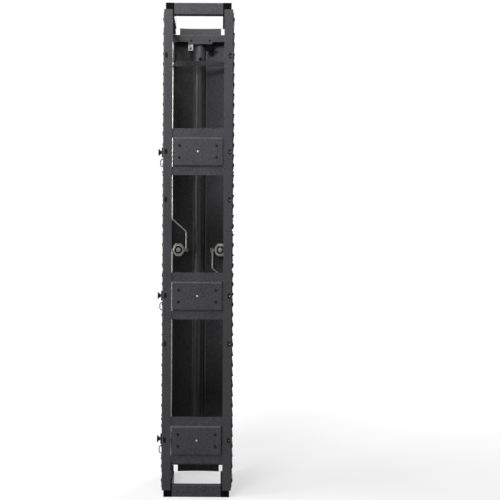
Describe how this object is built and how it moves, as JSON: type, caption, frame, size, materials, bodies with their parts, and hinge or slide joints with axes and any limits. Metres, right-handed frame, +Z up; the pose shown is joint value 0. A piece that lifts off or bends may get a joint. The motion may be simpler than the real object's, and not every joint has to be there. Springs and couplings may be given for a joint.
{
  "type": "vertical cable manager",
  "caption": "Full-height black rack cable manager with cable fingers down both sides, rear cross panels and a bowed, cam-latched door.",
  "frame": {"origin": "on the floor, at mid width, in the plane of the posts' rear faces; the base mount's point is 9 mm in front of it, on the lower flange of the bottom crossbar", "axes": "+Z up, +X to the right seen from the rear, +Y from the posts to the door"},
  "size_m": [0.3303, 0.3815, 2.1336],
  "materials": {
    "textured_black_steel": "fine-textured black powder coat",
    "satin_black_steel": "satin black powder coat",
    "black_nylon": "fine-grained moulded black nylon",
    "black_oxide_steel": "black oxide",
    "zinc_steel": "bright zinc plate"
  },
  "bodies": {
    "frame": {"left_post": "textured_black_steel", "right_post": "textured_black_steel", "left_top_arm": "satin_black_steel", "right_top_arm": "satin_black_steel", "left_bottom_arm": "satin_black_steel", "right_bottom_arm": "satin_black_steel", "top_crossbar": "textured_black_steel", "bottom_crossbar": "textured_black_steel", "arm_end_plugs": "black_nylon", "left_top_ear": "satin_black_steel", "right_top_ear": "satin_black_steel", "left_bottom_ear": "satin_black_steel", "right_bottom_ear": "satin_black_steel", "upper_panel": "textured_black_steel", "middle_panel": "textured_black_steel", "lower_panel": "textured_black_steel", "panel_inserts": "black_oxide_steel", "panel_earth_studs": "zinc_steel", "panel_side_screws": "black_oxide_steel", "post_slot_nuts": "black_oxide_steel", "left_top_short_fingers": "black_nylon", "left_upper_fingers": "black_nylon", "left_middle_fingers": "black_nylon", "left_lower_fingers": "black_nylon", "left_bottom_short_fingers": "black_nylon", "right_top_short_fingers": "black_nylon", "right_upper_fingers": "black_nylon", "right_middle_fingers": "black_nylon", "right_lower_fingers": "black_nylon", "right_bottom_short_fingers": "black_nylon", "finger_strip_screws": "black_oxide_steel", "plunger_housings": "textured_black_steel", "lashing_loops": "textured_black_steel"},
    "door": {"door_skin": "textured_black_steel", "door_stiffener": "textured_black_steel", "stiffener_plugs": "black_nylon", "door_top_bracket": "textured_black_steel", "door_bottom_bracket": "textured_black_steel", "door_bracket_screws": "black_oxide_steel", "rod_guides": "zinc_steel", "left_latch_housing": "zinc_steel", "right_latch_housing": "zinc_steel", "handle_escutcheons": "black_nylon", "earth_tab": "zinc_steel", "door_bumper": "black_nylon"},
    "left_latch": {"left_cam": "zinc_steel", "left_cam_nut": "zinc_steel", "left_handle": "black_nylon"},
    "right_latch": {"right_cam": "zinc_steel", "right_cam_nut": "zinc_steel", "right_handle": "black_nylon"},
    "left_upper_rod": {"left_upper_rod": "zinc_steel"},
    "left_lower_rod": {"left_lower_rod": "zinc_steel"},
    "right_upper_rod": {"right_upper_rod": "zinc_steel"},
    "right_lower_rod": {"right_lower_rod": "zinc_steel"},
    "upper_plunger": {"upper_plunger": "black_nylon"},
    "middle_plunger": {"middle_plunger": "black_nylon"},
    "lower_plunger": {"lower_plunger": "black_nylon"}
  },
  "joints": [
    {"name": "door_swing", "type": "hinge", "parent": "frame", "child": "door", "pos_m": [0.129, 0.34, 0], "axis": [0, 0, -1], "range_deg": [0, 115]},
    {"name": "left_latch_turn", "type": "hinge", "parent": "door", "child": "left_latch", "pos_m": [-0.1, 0.34, 1.0668], "axis": [0, -1, 0], "range_deg": [0, 30]},
    {"name": "left_upper_rod_slide", "type": "slide", "parent": "door", "child": "left_upper_rod", "axis": [0, 0, 1], "range_m": [0, 0.01937]},
    {"name": "left_lower_rod_slide", "type": "slide", "parent": "door", "child": "left_lower_rod", "axis": [0, 0, -1], "range_m": [0, 0.0153]},
    {"name": "right_latch_turn", "type": "hinge", "parent": "door", "child": "right_latch", "pos_m": [0.1, 0.34, 1.0668], "axis": [0, 1, 0], "range_deg": [0, 30]},
    {"name": "right_upper_rod_slide", "type": "slide", "parent": "door", "child": "right_upper_rod", "axis": [0, 0, -1], "range_m": [0, 0.0153]},
    {"name": "right_lower_rod_slide", "type": "slide", "parent": "door", "child": "right_lower_rod", "axis": [0, 0, 1], "range_m": [0, 0.01937]},
    {"name": "upper_plunger_pull", "type": "slide", "parent": "frame", "child": "upper_plunger", "axis": [-1, 0, 0], "range_m": [0, 0.008], "stiffness_N_per_m": 600, "springref_m": -0.004},
    {"name": "middle_plunger_pull", "type": "slide", "parent": "frame", "child": "middle_plunger", "axis": [-1, 0, 0], "range_m": [0, 0.008], "stiffness_N_per_m": 600, "springref_m": -0.004},
    {"name": "lower_plunger_pull", "type": "slide", "parent": "frame", "child": "lower_plunger", "axis": [-1, 0, 0], "range_m": [0, 0.008], "stiffness_N_per_m": 600, "springref_m": -0.004}
  ],
  "couplings": [
    {"joint": "left_latch_turn", "follows": "left_upper_rod_slide", "rad_per_m": 27.027},
    {"joint": "left_lower_rod_slide", "follows": "left_upper_rod_slide", "ratio": 0.78378},
    {"joint": "right_latch_turn", "follows": "right_lower_rod_slide", "rad_per_m": 27.027},
    {"joint": "right_upper_rod_slide", "follows": "right_lower_rod_slide", "ratio": 0.78378}
  ]
}
